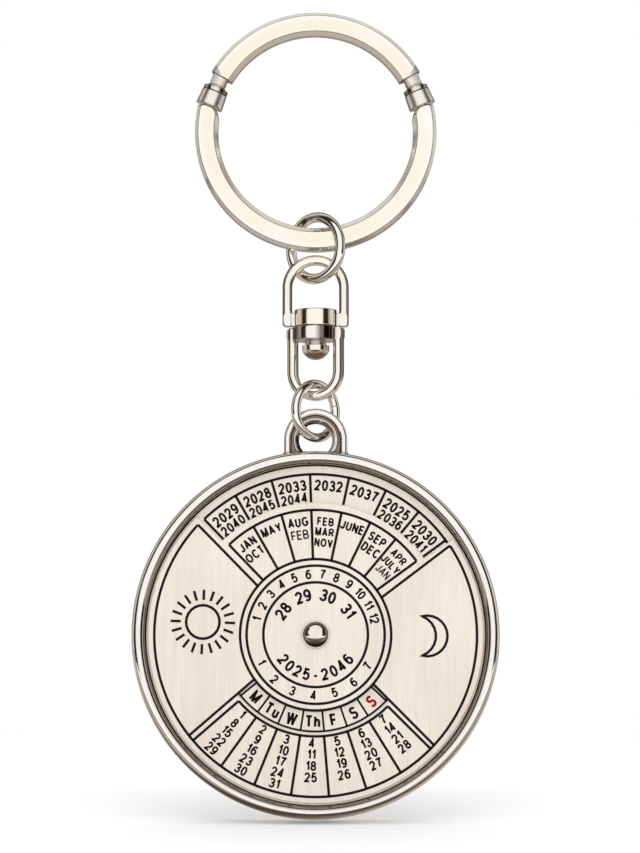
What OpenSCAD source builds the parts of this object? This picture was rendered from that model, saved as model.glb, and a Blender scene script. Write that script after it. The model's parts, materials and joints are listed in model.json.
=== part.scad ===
// Perpetual calendar keyring: a gated key ring, two jump rings, a swivel and
// a round pendant whose slotted calendar disc turns over a fixed dial plate.
// Millimetres, +Z up, dial facing -Y, origin at the centre of the key ring.

/* [Key ring] */
// Outer diameter of the key ring
ring_d = 30; // [27:0.5:34]
// Width of the band, measured across the ring
band_w = 2.9; // [2.6:0.1:3.2]
// Depth of the band, front to back
band_t = 2.1; // [2:0.05:2.4]
// Bevel on the outer edges of the band
outer_bevel = 0.4; // [0.2:0.05:0.6]
// Bevel on the inner edges of the band
inner_bevel = 0.55; // [0.3:0.05:0.7]
// Height of the two gate seams above the centre, as an angle
seam_angle = 21.5; // [16:0.5:28]
// Angle at which the full band of the gate starts
gate_angle = 30.5; // [29.5:0.5:38]

/* [Gate joints] */
// Outer diameter of the sleeves at their mouths
sleeve_d = 3.4; // [3.3:0.05:3.7]
// Length of the sleeves
sleeve_len = 1.8; // [1.6:0.1:2.2]
// How much the sleeves narrow towards the seam
sleeve_taper = 0.1; // [0:0.05:0.3]
// Countersink in the mouths of the sleeves
sleeve_mouth = 0.4; // [0.2:0.05:0.5]
// Thickness of the sleeves' end walls
cap_t = 0.4; // [0.3:0.05:0.5]
// Diameter of the bow's round tenons
tenon_d = 2; // [1.9:0.05:2]
// Diameter of the bow's ends where they meet the tenons
bow_end_d = 2.3; // [2.2:0.05:2.5]
// Half angle of the cone by which the bow's ends narrow
bow_cone = 35; // [30:1:45]
// Gap between the bow's shoulders and the sleeves
shoulder_gap = 0.15; // [0.05:0.05:0.3]
// Diameter of the gate's flanges
flange_d = 3.1; // [2.8:0.05:3.4]
// Thickness of the round part of the flanges
flange_t = 0.5; // [0.4:0.05:0.7]
// Height of the cone between flange and neck
cone_h = 0.45; // [0.3:0.05:0.6]
// Diameter at which that cone ends inside the neck
cone_d = 1.4; // [1:0.05:1.45]
// Width of the gate's square necks
neck_w = 1.9; // [1.6:0.05:1.9]
// Depth of the gate's necks
neck_t = 1.7; // [1.5:0.05:1.7]
// Diameter of the hinge pin and of the catch stud
pin_d = 0.9; // [0.7:0.05:1.1]
// Diameter of the heads of pin and stud
pin_head_d = 1.7; // [1.5:0.05:1.75]
// Thickness of those heads
pin_head_t = 0.4; // [0.3:0.05:0.45]
// Depth of the pin's and the stud's seats in the flanges
pin_seat = 0.7; // [0.5:0.05:0.9]

/* [Jump rings] */
// Outer diameter of the upper jump ring
upper_link_d = 9; // [8.8:0.1:9.6]
// Wire of the upper jump ring
upper_wire = 1.3; // [1:0.05:1.4]
// Turn of the upper jump ring, right side to the front
upper_yaw = 38; // [36:1:50]
// Outer diameter of the lower jump ring
lower_link_d = 7.8; // [7.6:0.1:8.4]
// Wire of the lower jump ring
lower_wire = 1.15; // [0.9:0.05:1.2]
// Turn of the lower jump ring, left side to the front
lower_yaw = 43; // [41:1:50]
// Width of the butt gap in each jump ring
butt_gap = 0.06; // [0.04:0.01:0.12]
// Direction of the butt gap in the upper jump ring
upper_split = 165; // [0:5:355]
// Direction of the butt gap in the lower jump ring
lower_split = 15; // [0:5:355]

/* [Swivel stirrup] */
// Width of the stirrup
stirrup_w = 8.2; // [7.6:0.1:9]
// Height of the stirrup
stirrup_h = 8.9; // [8.5:0.1:10]
// Thickness of its arch and legs
stirrup_bar = 1.2; // [1:0.05:1.4]
// Depth of its arch and legs
stirrup_t = 1.4; // [1.3:0.05:1.6]
// Height of the base bar
base_h = 1.65; // [1.4:0.05:2]
// Depth of the base bar
base_t = 1.4; // [1.3:0.05:2.2]
// Corner radius of the base bar
base_round = 0.5; // [0.2:0.05:0.7]
// Diameter of the round boss in the base bar
boss_d = 5.2; // [4.8:0.1:5.6]
// How far the boss stands above the base bar
boss_rise = 0.4; // [0.3:0.05:0.5]
// Diameter of the hollow in the top of the boss
hollow_d = 4.2; // [3.8:0.05:4.4]
// Depth of that hollow
hollow_h = 0.25; // [0.1:0.05:0.3]

/* [Swivel yoke] */
// Width of the yoke
yoke_w = 7.2; // [6.8:0.1:8]
// Height of the yoke
yoke_h = 9.1; // [8.8:0.1:10.5]
// Thickness of its legs
yoke_bar = 1.2; // [1:0.05:1.4]
// Depth of its legs
yoke_t = 1.3; // [1.2:0.05:1.5]
// Rounding of the long edges of stirrup and yoke
bar_round = 0.35; // [0.2:0.05:0.5]
// Diameter of the yoke's collar
collar_d = 5.6; // [5:0.1:6.2]
// Height of the yoke's collar
collar_h = 1.65; // [1.4:0.05:2]
// Turn of the yoke, right leg to the front
yoke_yaw = 20; // [0:1:25]

/* [Swivel rivet] */
// Diameter of the rivet's shank
swivel_d = 1.8; // [1.5:0.05:2]
// Diameter of the flat head in the hollow of the boss
swivel_head_d = 3.2; // [2.6:0.05:3.6]
// Height of that head
swivel_head_h = 0.2; // [0.1:0.05:0.4]
// Diameter of the washer under the collar
washer_d = 2.6; // [2.4:0.05:3]
// Thickness of that washer
washer_t = 0.55; // [0.4:0.05:0.8]
// Diameter of the peened tail
tail_d = 3.35; // [3:0.05:3.6]
// Height of the tail's straight side
tail_h = 0.65; // [0.4:0.05:0.9]
// Height of the tail's round end
tip_h = 1.1; // [0.7:0.05:1.3]

/* [Pendant case] */
// Diameter of the case
case_d = 45; // [40:0.5:52]
// Thickness of the case's back
back_t = 1.1; // [0.9:0.05:1.6]
// Width of the bezel
bezel_w = 1.6; // [1.4:0.05:2]
// Height of the bezel above the floor of the dish
bezel_h = 2.6; // [2.4:0.05:3.4]
// Rounding of the edge of the back
back_round = 0.8; // [0.4:0.05:1]
// Width of the hanging loop
loop_w = 7.8; // [7.6:0.1:8.6]
// Width of the loop's round rim
loop_rim = 0.9; // [0.8:0.05:1]
// Depth of the loop, front to back
loop_t = 1.9; // [1.7:0.05:2.1]
// Rounding of the rim's edges
loop_round = 0.4; // [0.2:0.05:0.4]
// Height of the loop above the edge of the case
loop_rise = 5.3; // [5.2:0.1:6]
// Diameter of the loop's hole
eyelet_d = 4.1; // [3.9:0.05:4.2]
// Countersink of the hole
eyelet_sink = 0.5; // [0.4:0.05:0.6]
// Flat left around the countersink
eyelet_rim = 0.15; // [0.1:0.05:0.2]
// Depth of the raised collar around the hole
eyelet_t = 1.7; // [1.6:0.05:1.8]
// Depth of the thin web between rim and collar
web_t = 1.2; // [0.9:0.1:1.4]
// Fillet between the loop and the case
loop_fillet = 0.9; // [0.5:0.1:1.2]

/* [Dial plate and calendar disc] */
// Thickness of the fixed dial plate
plate_t = 0.5; // [0.4:0.05:0.7]
// Thickness of the turning calendar disc
disc_t = 0.5; // [0.4:0.05:0.7]
// Angle from one calendar column to the next
column_pitch = 14; // [13:0.1:14.5]
// Direction of the middle of the years' cut-out
year_centre = 85; // [80:1:100]
// Direction of the middle of the weekdays' window
day_centre = 268; // [262:1:278]
// Margin of the cut-outs beyond their seven columns, as an angle
cut_margin = 1.2; // [0.5:0.1:2]
// Radius at which the years' cut-out starts
year_r = 16.2; // [15.5:0.1:17]
// Inner radius of the weekdays' window
day_in_r = 9.4; // [9:0.1:10]
// Outer radius of the weekdays' window
day_out_r = 12.05; // [11.5:0.05:12.5]

/* [Pivot] */
// Diameter of the centre rivet's shank
pivot_d = 1.8; // [1.5:0.05:2.2]
// Diameter of its dome
dome_d = 3.1; // [2.8:0.05:3.6]
// Height of its dome
dome_h = 1; // [0.7:0.05:1.2]
// Diameter of the thin washer under the dome
pivot_washer_d = 3.5; // [3.2:0.05:4.2]
// Thickness of that washer
pivot_washer_t = 0.2; // [0.15:0.05:0.3]
// Diameter of the spacer washer between plate and disc
spacer_d = 6; // [4:0.1:8]
// Thickness of the spacer washer
spacer_t = 0.2; // [0.15:0.05:0.3]
// Diameter of the rivet's tail in the back
pivot_tail_d = 3; // [2.6:0.05:3.6]
// Thickness of that tail
pivot_tail_t = 0.4; // [0.3:0.05:0.5]

/* [Clearances] */
// Play around pins and shanks that turn
slip = 0.05; // [0.02:0.01:0.1]
// Gap between flat faces that turn on each other
run_gap = 0.03; // [0.02:0.01:0.08]
// Gap at the gate's seams and between the halves of the swivel
seam_gap = 0.1; // [0.08:0.01:0.15]
// Play around the heads of hinge pin and catch stud
catch_gap = 0.12; // [0.1:0.01:0.18]
// Gap at which linked rings hang in each other
seat_gap = 0.15; // [0.1:0.01:0.3]
// Gap between the dial plate and the wall of the dish
plate_gap = 0.1; // [0.05:0.05:0.2]
// Gap between the calendar disc and the wall of the dish
disc_gap = 0.35; // [0.25:0.05:0.5]
// Gap around the rivet's tail in the counterbore of the back
tail_gap = 0.15; // [0.1:0.05:0.3]
// How deep the rivet's tail lies below the back
tail_sink = 0.05; // [0.02:0.01:0.1]

/* [Hidden] */
$fn = 96;

// A cut reaches this far past the face that it opens
past = 1;
// A piece that joins another in the same solid reaches this far into it
root = 0.5;
// Columns of the calendar, one for each weekday
columns = 7;
// Times that the search for a link's place halves its span
halvings = 24;
// Part of a wire ring that can meet the bar above or below it, and its steps
reach_angle = 120;
reach_step = 2;

// Key ring
ring_r = ring_d / 2;
ring_in_r = ring_r - band_w;
ring_mid_r = ring_r - band_w / 2;
shoulder = sleeve_len + shoulder_gap;
bow_end_r = bow_end_d / 2;
tenon_end = cap_t + pin_head_t + 2 * catch_gap;
neck_end = ring_mid_r * sin(gate_angle - seam_angle);

// Links, each hung from the one above
stirrup_r = stirrup_w / 2;
yoke_r = yoke_w / 2;
loop_r = loop_w / 2;
upper_link = [(upper_link_d - upper_wire) / 2, upper_wire];
lower_link = [(lower_link_d - lower_wire) / 2, lower_wire];
band_bar = [ring_mid_r, band_w, band_t, inner_bevel];
arch_bar = [stirrup_r - stirrup_bar / 2, stirrup_bar, stirrup_t, flat_of(bar_round)];
bend_bar = [yoke_r - yoke_bar / 2, yoke_bar, yoke_t, flat_of(bar_round)];
eyelet_r = eyelet_d / 2;
loop_bar = [(loop_r + eyelet_r) / 2, loop_r - eyelet_r, loop_t, eyelet_sink];

upper_link_z = -hang(upper_link, band_bar, upper_yaw);
arch_z = upper_link_z - hang(upper_link, arch_bar, upper_yaw);
stirrup_z = arch_z + stirrup_r - stirrup_h;
yoke_top = stirrup_z - seam_gap;
bend_z = yoke_top - yoke_h + yoke_r;
lower_link_z = bend_z - hang(lower_link, bend_bar, lower_yaw + yoke_yaw);
loop_z = lower_link_z - hang(lower_link, loop_bar, lower_yaw);

// Pendant, front faces counted from the middle of the case
case_r = case_d / 2;
case_t = back_t + bezel_h;
dish_r = case_r - bezel_w;
loop_y = case_r + loop_rise - loop_r;
pendant_z = loop_z - loop_y;
floor_h = back_t - case_t / 2;
plate_top = floor_h + plate_t;
disc_bottom = plate_top + spacer_t + run_gap;
disc_top = disc_bottom + disc_t;
dome_bottom = disc_top + run_gap + pivot_washer_t;
cut_angle = columns * column_pitch + 2 * cut_margin;

// Distance between the centres of a wire ring [radius, wire] and of a curved
// bar [radius, width, depth, bevel] when the ring hangs in it at seat_gap,
// found by halving the span in which it lies
function hang(link, bar, yaw) = halved(link, bar, yaw, bar[0], bar[0] + link[0], halvings);

function halved(link, bar, yaw, near, far, steps) =
    let (middle = (near + far) / 2)
        steps == 0 ? near
        : link_gap(link, bar, yaw, middle) > seat_gap
            ? halved(link, bar, yaw, middle, far, steps - 1)
            : halved(link, bar, yaw, near, middle, steps - 1);

// Gap between ring and bar, whose planes differ by yaw, with their centres apart
function link_gap(link, bar, yaw, apart) =
    min([
        for (turn = [-reach_angle : reach_step : reach_angle])
            let (
                side = link[0] * sin(turn),
                up = link[0] * cos(turn) - apart,
                across = abs(norm([side * cos(yaw), up]) - bar[0]) - bar[1] / 2,
                deep = abs(side * sin(yaw)) - bar[2] / 2
            )
                max(across, deep, (across + deep + bar[3]) / sqrt(2))
    ]) - link[1] / 2;

// Flat across a round edge, where a corner of that radius is cut at 45 degrees
function flat_of(radius) = (2 - sqrt(2)) * radius;

// Radius of the ball that a cap of diameter d and height h is cut from
function cap_r(d, h) = (d * d / 4 + h * h) / 2 / h;

// Second leg of a right triangle
function leg(hypotenuse, side) = sqrt(max(0, hypotenuse * hypotenuse - side * side));

// Stands a flat drawing upright at height z: x to the right, y up, z to the front
module upright(z, yaw = 0) {
    translate([0, 0, z])
        rotate([90, 0, yaw])
            children();
}

// Puts a shape at a gate seam: x outwards, y to the back, z from bow to gate
module at_seam(side) {
    upright(0)
        mirror([side < 0 ? 1 : 0, 0, 0])
            rotate([0, 0, seam_angle])
                translate([ring_mid_r, 0, 0])
                    rotate([-90, 0, 0])
                        children();
}

// Cross-section of a bar with round long edges
module bar_section(w, t, r) {
    square([w - 2 * r, t], center = true);
    square([w, t - 2 * r], center = true);
    for (x = [-1, 1], y = [-1, 1])
        translate([x * (w / 2 - r), y * (t / 2 - r)])
            circle(r);
}

// Arch of a bar: half a turn above the x axis
module bar_arch(r, w, t, edge) {
    rotate_extrude(angle = 180)
        translate([r - w / 2, 0])
            bar_section(w, t, edge);
}

// Two parallel legs of a bar, running up from y = 0
module bar_legs(r, w, t, edge, length) {
    for (side = [-1, 1])
        translate([side * (r - w / 2), 0, 0])
            rotate([-90, 0, 0])
                linear_extrude(length)
                    bar_section(w, t, edge);
}

// Bevelled band of the key ring between two angles
module band(from, to) {
    half = band_t / 2;
    rotate([0, 0, from])
        rotate_extrude(angle = to - from)
            polygon([
                [ring_in_r, -half + inner_bevel],
                [ring_in_r + inner_bevel, -half],
                [ring_r - outer_bevel, -half],
                [ring_r, -half + outer_bevel],
                [ring_r, half - outer_bevel],
                [ring_r - outer_bevel, half],
                [ring_in_r + inner_bevel, half],
                [ring_in_r, half - inner_bevel]
            ]);
}

// Lower arc of the key ring, turned down to a cone and a round tenon at each end
module ring_bow() color("ivory") {
    difference() {
        upright(0)
            band(180 - seam_angle, 360 + seam_angle);
        for (side = [-1, 1])
            at_seam(side)
                rotate_extrude()
                    polygon([
                        [0, -shoulder],
                        [bow_end_r, -shoulder],
                        [sleeve_d, -shoulder - (sleeve_d - bow_end_r) / tan(bow_cone)],
                        [sleeve_d, shoulder],
                        [0, shoulder]
                    ]);
    }
    for (side = [-1, 1])
        at_seam(side)
            translate([0, 0, -shoulder - root])
                cylinder(d = tenon_d, h = shoulder + root - tenon_end);
}

// Ferrule on the end of the bow, with an end wall at the seam
module sleeve() {
    rotate_extrude()
        polygon([
            [pin_d / 2 + slip, 0],
            [sleeve_d / 2 - sleeve_taper, 0],
            [sleeve_d / 2, -sleeve_len],
            [tenon_d / 2 + sleeve_mouth, -sleeve_len],
            [tenon_d / 2, -sleeve_len + sleeve_mouth],
            [tenon_d / 2, -cap_t],
            [pin_d / 2 + slip, -cap_t]
        ]);
}

module hinge_sleeve() color("lightgray") {
    at_seam(-1)
        sleeve();
}

// The catch's sleeve is slotted at the back, so that the stud can swing out
module catch_sleeve() color("lightgray") {
    neck_slot = pin_d + 2 * catch_gap;
    head_slot = pin_head_d + 2 * catch_gap;
    at_seam(1)
        difference() {
            sleeve();
            translate([0, 0, -tenon_end])
                cylinder(d = neck_slot, h = tenon_end + past);
            translate([-neck_slot / 2, 0, -tenon_end])
                cube([neck_slot, sleeve_d, tenon_end + past]);
            translate([-head_slot / 2, 0, -tenon_end])
                cube([head_slot, sleeve_d, tenon_end - cap_t]);
        }
}

// Flange, cone and square neck at one end of the gate, from the seam upwards
module gate_end() {
    flange_top = seam_gap + flange_t;
    rotate_extrude()
        polygon([
            [0, seam_gap],
            [flange_d / 2, seam_gap],
            [flange_d / 2, flange_top],
            [cone_d / 2, flange_top + cone_h],
            [0, flange_top + cone_h]
        ]);
    translate([-neck_w / 2, -neck_t / 2, flange_top - root / 2])
        cube([neck_w, neck_t, neck_end - flange_top + root]);
}

// Upper arc of the key ring, with a seat for the pin or stud in each flange
module ring_gate() color("ivory") {
    difference() {
        union() {
            upright(0)
                band(gate_angle, 180 - gate_angle);
            for (side = [-1, 1])
                at_seam(side)
                    gate_end();
        }
        for (side = [-1, 1])
            at_seam(side)
                cylinder(d = pin_d, h = seam_gap + pin_seat);
    }
}

// Headed pin from the flange through the end wall of a sleeve
module headed_pin() {
    translate([0, 0, -cap_t - catch_gap])
        cylinder(d = pin_d, h = cap_t + catch_gap + seam_gap + pin_seat);
    translate([0, 0, -cap_t - catch_gap - pin_head_t])
        cylinder(d = pin_head_d, h = pin_head_t);
}

module hinge_pin() color("silver") {
    at_seam(-1)
        headed_pin();
}

module catch_stud() color("silver") {
    at_seam(1)
        headed_pin();
}

// Round wire bent to a ring, its butt ends at the angle split
module jump_ring(d, wire, split) {
    mid_r = (d - wire) / 2;
    gap_angle = 2 * asin(butt_gap / 2 / mid_r);
    rotate([0, 0, split + gap_angle / 2])
        rotate_extrude(angle = 360 - gap_angle)
            translate([mid_r, 0])
                circle(d = wire);
}

module upper_jump_ring() color("silver") {
    upright(upper_link_z, -upper_yaw)
        jump_ring(upper_link_d, upper_wire, upper_split);
}

module lower_jump_ring() color("silver") {
    upright(lower_link_z, lower_yaw)
        jump_ring(lower_link_d, lower_wire, lower_split);
}

// Upper half of the swivel: arch and legs on a base bar with a round, hollowed boss
module swivel_stirrup() color("lightgray") {
    arch_y = stirrup_h - stirrup_r;
    upright(stirrup_z)
        difference() {
            union() {
                translate([0, arch_y, 0])
                    bar_arch(stirrup_r, stirrup_bar, stirrup_t, bar_round);
                translate([0, base_h - root, 0])
                    bar_legs(stirrup_r, stirrup_bar, stirrup_t, bar_round, arch_y - base_h + root);
                translate([0, base_h / 2, -base_t / 2])
                    linear_extrude(base_t)
                        bar_section(stirrup_w, base_h, base_round);
                rotate([-90, 0, 0])
                    cylinder(d = boss_d, h = base_h + boss_rise);
            }
            translate([0, -past, 0])
                rotate([-90, 0, 0])
                    cylinder(d = swivel_d, h = stirrup_h / 2);
            translate([0, base_h + boss_rise - hollow_h, 0])
                rotate([-90, 0, 0])
                    cylinder(d = hollow_d, h = hollow_h + past);
        }
}

// Rivet of the swivel: flat head in the boss, round peened tail under the washer
module swivel_rivet() color("silver") {
    head_z = stirrup_z + base_h + boss_rise - hollow_h;
    tail_z = yoke_top - collar_h - washer_t - 2 * run_gap - tail_h;
    ball_r = cap_r(tail_d, tip_h);
    rotate_extrude() {
        translate([0, head_z])
            square([swivel_head_d / 2, swivel_head_h]);
        translate([0, tail_z])
            square([swivel_d / 2, head_z - tail_z + swivel_head_h]);
        translate([0, tail_z])
            square([tail_d / 2, tail_h]);
        translate([0, tail_z - tip_h])
            intersection() {
                translate([0, ball_r])
                    circle(ball_r);
                square([tail_d / 2, tip_h]);
            }
    }
}

module swivel_washer() color("gainsboro") {
    translate([0, 0, yoke_top - collar_h - run_gap - washer_t])
        difference() {
            cylinder(d = washer_d, h = washer_t);
            translate([0, 0, -past])
                cylinder(d = swivel_d, h = washer_t + 2 * past);
        }
}

// Lower half of the swivel: round collar, shoulders, legs and a round bend
module swivel_yoke() color("lightgray") {
    bend_y = yoke_r - yoke_h;
    upright(yoke_top, -yoke_yaw)
        difference() {
            union() {
                translate([0, bend_y, 0])
                    mirror([0, 1, 0])
                        bar_arch(yoke_r, yoke_bar, yoke_t, bar_round);
                translate([0, bend_y, 0])
                    bar_legs(yoke_r, yoke_bar, yoke_t, bar_round, -bend_y - collar_h + root);
                translate([0, -collar_h / 2, -yoke_t / 2])
                    linear_extrude(yoke_t)
                        bar_section(yoke_w, collar_h, base_round);
                translate([0, -collar_h, 0])
                    rotate([-90, 0, 0])
                        cylinder(d = collar_d, h = collar_h);
            }
            translate([0, -collar_h - past, 0])
                rotate([-90, 0, 0])
                    cylinder(d = swivel_d + 2 * slip, h = collar_h + 2 * past);
        }
}

// Profile of the dish: closed back with a round edge, wall and round bezel
module case_profile() {
    back = -case_t / 2;
    bezel_r = bezel_w / 2;
    translate([0, back])
        square([case_r - back_round, back_t]);
    translate([case_r - back_round, back + back_round])
        circle(back_round);
    translate([dish_r, back + back_round])
        square([bezel_w, case_t - back_round - bezel_r]);
    translate([case_r - bezel_r, case_t / 2 - bezel_r])
        circle(bezel_r);
}

// Outline of the thin web in the loop, with a fillet outside each foot
module loop_web(foot) {
    inside = loop_r - loop_rim / 2;
    fillet_y = leg(case_r - root / 2, loop_r + loop_fillet) + loop_fillet;
    intersection() {
        translate([0, loop_y])
            circle(inside);
        translate([-inside, loop_y - root])
            square(2 * inside);
    }
    translate([-inside, foot])
        square([2 * inside, loop_y - foot]);
    for (side = [-1, 1])
        difference() {
            translate([side * loop_r - loop_fillet, foot])
                square([2 * loop_fillet, fillet_y - foot]);
            translate([side * (loop_r + loop_fillet), fillet_y])
                circle(loop_fillet);
        }
}

// Loop cast on top of the case: round rim, thin web and a countersunk eyelet
module case_loop() {
    foot = leg(case_r - bezel_w / 2, loop_r);
    half = eyelet_t / 2;
    difference() {
        union() {
            translate([0, loop_y, 0])
                bar_arch(loop_r, loop_rim, loop_t, loop_round);
            translate([0, foot, 0])
                bar_legs(loop_r, loop_rim, loop_t, loop_round, loop_y - foot);
            translate([0, 0, -web_t / 2])
                linear_extrude(web_t)
                    loop_web(foot);
            translate([0, loop_y, -half])
                cylinder(r = eyelet_r + eyelet_sink + eyelet_rim, h = eyelet_t);
        }
        translate([0, loop_y, 0])
            rotate_extrude()
                polygon([
                    [0, -half - past],
                    [eyelet_r + eyelet_sink + past, -half - past],
                    [eyelet_r, -half + eyelet_sink],
                    [eyelet_r, half - eyelet_sink],
                    [eyelet_r + eyelet_sink + past, half + past],
                    [0, half + past]
                ]);
    }
}

// Cast dish of the pendant, bored for the centre rivet
module case() color("silver") {
    upright(pendant_z)
        difference() {
            union() {
                rotate_extrude()
                    case_profile();
                case_loop();
            }
            translate([0, 0, -case_t])
                cylinder(d = pivot_d, h = 2 * case_t);
            translate([0, 0, -case_t / 2 - past])
                cylinder(d = pivot_tail_d + 2 * tail_gap, h = past + tail_sink + pivot_tail_t);
        }
}

// Flat round blank with a hole in the middle
module blank(r, t, bore) {
    difference() {
        cylinder(r = r, h = t);
        translate([0, 0, -past])
            cylinder(d = bore, h = t + 2 * past);
    }
}

module dial_plate() color("bisque") {
    upright(pendant_z)
        translate([0, 0, floor_h])
            blank(dish_r - plate_gap, plate_t, pivot_d);
}

module spacer_washer() color("dimgray") {
    upright(pendant_z)
        translate([0, 0, plate_top])
            blank(spacer_d / 2, spacer_t, pivot_d);
}

// Ring-shaped cut through the disc, seven columns wide about a direction
module column_cut(centre, from_r, to_r) {
    rotate([0, 0, centre - cut_angle / 2])
        rotate_extrude(angle = cut_angle)
            translate([from_r, -past])
                square([to_r - from_r, disc_t + 2 * past]);
}

// Turning disc: open to its edge at the years, with a window at the weekdays
module calendar_disc() color("bisque") {
    upright(pendant_z)
        translate([0, 0, disc_bottom])
            difference() {
                blank(dish_r - disc_gap, disc_t, pivot_d + 2 * slip);
                column_cut(year_centre, year_r, case_r);
                column_cut(day_centre, day_in_r, day_out_r);
            }
}

module pivot_washer() color("gainsboro") {
    upright(pendant_z)
        translate([0, 0, disc_top + run_gap])
            blank(pivot_washer_d / 2, pivot_washer_t, pivot_d);
}

// Rivet that the disc turns on: round dome in front, flat tail in the back
module centre_rivet() color("silver") {
    ball_r = cap_r(dome_d, dome_h);
    rivet_back = tail_sink - case_t / 2;
    upright(pendant_z)
        rotate_extrude() {
            translate([0, rivet_back])
                square([pivot_tail_d / 2, pivot_tail_t]);
            translate([0, rivet_back])
                square([pivot_d / 2, dome_bottom - rivet_back + dome_h / 2]);
            translate([0, dome_bottom])
                intersection() {
                    translate([0, dome_h - ball_r])
                        circle(ball_r);
                    square([dome_d / 2, dome_h]);
                }
        }
}

ring_bow();
hinge_sleeve();
catch_sleeve();
ring_gate();
hinge_pin();
catch_stud();
upper_jump_ring();
swivel_stirrup();
swivel_rivet();
swivel_washer();
swivel_yoke();
lower_jump_ring();
case();
dial_plate();
spacer_washer();
calendar_disc();
pivot_washer();
centre_rivet();
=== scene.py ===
import json
import math
from datetime import date

import bmesh
import bpy
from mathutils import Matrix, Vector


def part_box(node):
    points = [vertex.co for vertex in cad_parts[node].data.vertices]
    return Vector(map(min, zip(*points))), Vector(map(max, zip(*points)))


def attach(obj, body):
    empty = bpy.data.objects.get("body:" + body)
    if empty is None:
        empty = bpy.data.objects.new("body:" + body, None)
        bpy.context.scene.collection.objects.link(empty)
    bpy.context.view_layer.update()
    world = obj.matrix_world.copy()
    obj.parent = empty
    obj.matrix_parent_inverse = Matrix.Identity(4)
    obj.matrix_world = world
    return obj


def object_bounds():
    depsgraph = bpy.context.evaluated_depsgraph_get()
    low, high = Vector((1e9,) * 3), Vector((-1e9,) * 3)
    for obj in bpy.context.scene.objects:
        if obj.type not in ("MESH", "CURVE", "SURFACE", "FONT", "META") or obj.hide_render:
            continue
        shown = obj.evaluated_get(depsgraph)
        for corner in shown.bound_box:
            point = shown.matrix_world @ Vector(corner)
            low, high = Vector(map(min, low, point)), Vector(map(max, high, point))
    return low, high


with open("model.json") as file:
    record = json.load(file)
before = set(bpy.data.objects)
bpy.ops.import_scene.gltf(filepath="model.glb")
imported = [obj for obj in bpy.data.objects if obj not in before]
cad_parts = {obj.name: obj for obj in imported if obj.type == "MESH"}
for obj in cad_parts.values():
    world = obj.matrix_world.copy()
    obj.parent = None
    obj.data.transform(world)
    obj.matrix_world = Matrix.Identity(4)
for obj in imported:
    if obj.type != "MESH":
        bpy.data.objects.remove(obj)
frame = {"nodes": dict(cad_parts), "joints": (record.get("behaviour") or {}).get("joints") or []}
nodes = frame["nodes"]
cad_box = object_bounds()
scene = bpy.context.scene


# Key ring band: a lower bow and a swinging upper gate, both bent from a bevelled flat bar.
# Steel with a thin warm nickel plate, polished on the faces and handled until it has
# fine hairlines and a faint haze.
def node(tree, kind, **settings):
    made = tree.nodes.new(kind)
    for key, value in settings.items():
        setattr(made, key, value)
    return made


def put(tree, target, value):
    """Links a socket to the target, or sets the target to a plain value."""
    if isinstance(value, bpy.types.NodeSocket):
        tree.links.new(value, target)
    else:
        target.default_value = value


def math_node(tree, operation, a, b=0.0, clamp=False):
    made = node(tree, "ShaderNodeMath", operation=operation, use_clamp=clamp)
    put(tree, made.inputs[0], a)
    put(tree, made.inputs[1], b)
    return made.outputs[0]


def scaled(tree, value, gain, base):
    return math_node(tree, "ADD", math_node(tree, "MULTIPLY", value, gain), base)


def past(tree, value, start, slope):
    """Share from 0 to 1 by which a value has passed the start; a negative slope counts downwards."""
    return math_node(tree, "MULTIPLY", math_node(tree, "SUBTRACT", value, start), slope, True)


def length(tree, a, b):
    squares = [math_node(tree, "MULTIPLY", side, side) for side in (a, b)]
    return math_node(tree, "SQRT", math_node(tree, "ADD", *squares))


def object_place(tree):
    return node(tree, "ShaderNodeTexCoord").outputs["Object"]


def place_axes(tree):
    spread = node(tree, "ShaderNodeSeparateXYZ")
    tree.links.new(object_place(tree), spread.inputs[0])
    return spread.outputs["X"], spread.outputs["Y"], spread.outputs["Z"]


def noise(tree, scale, detail, stretch=(1, 1, 1)):
    mapping = node(tree, "ShaderNodeMapping")
    tree.links.new(object_place(tree), mapping.inputs["Vector"])
    mapping.inputs["Scale"].default_value = stretch
    grain = node(tree, "ShaderNodeTexNoise")
    tree.links.new(mapping.outputs["Vector"], grain.inputs["Vector"])
    grain.inputs["Scale"].default_value = scale
    grain.inputs["Detail"].default_value = detail
    return grain.outputs["Fac"]


MIX_FIRST = 6
MIX_SECOND = 7
MIX_RESULT = 2


def blend_colours(tree, share, first, second):
    made = node(tree, "ShaderNodeMix", data_type="RGBA")
    put(tree, made.inputs["Factor"], share)
    put(tree, made.inputs[MIX_FIRST], first)
    put(tree, made.inputs[MIX_SECOND], second)
    return made.outputs[MIX_RESULT]


def mark_group(name, colours, values, results):
    """Shared effect as a node group: its tree, its inputs by name and its outputs by name."""
    tree = bpy.data.node_groups.new(name, "ShaderNodeTree")
    for label in colours:
        tree.interface.new_socket(name=label, in_out="INPUT", socket_type="NodeSocketColor")
    for label, value in values.items():
        given = tree.interface.new_socket(name=label, in_out="INPUT", socket_type="NodeSocketFloat")
        given.default_value = value
    for label in results:
        kind = "NodeSocketColor" if label == "Colour" else "NodeSocketFloat"
        tree.interface.new_socket(name=label, in_out="OUTPUT", socket_type=kind)
    return tree, node(tree, "NodeGroupInput").outputs, node(tree, "NodeGroupOutput").inputs


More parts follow.
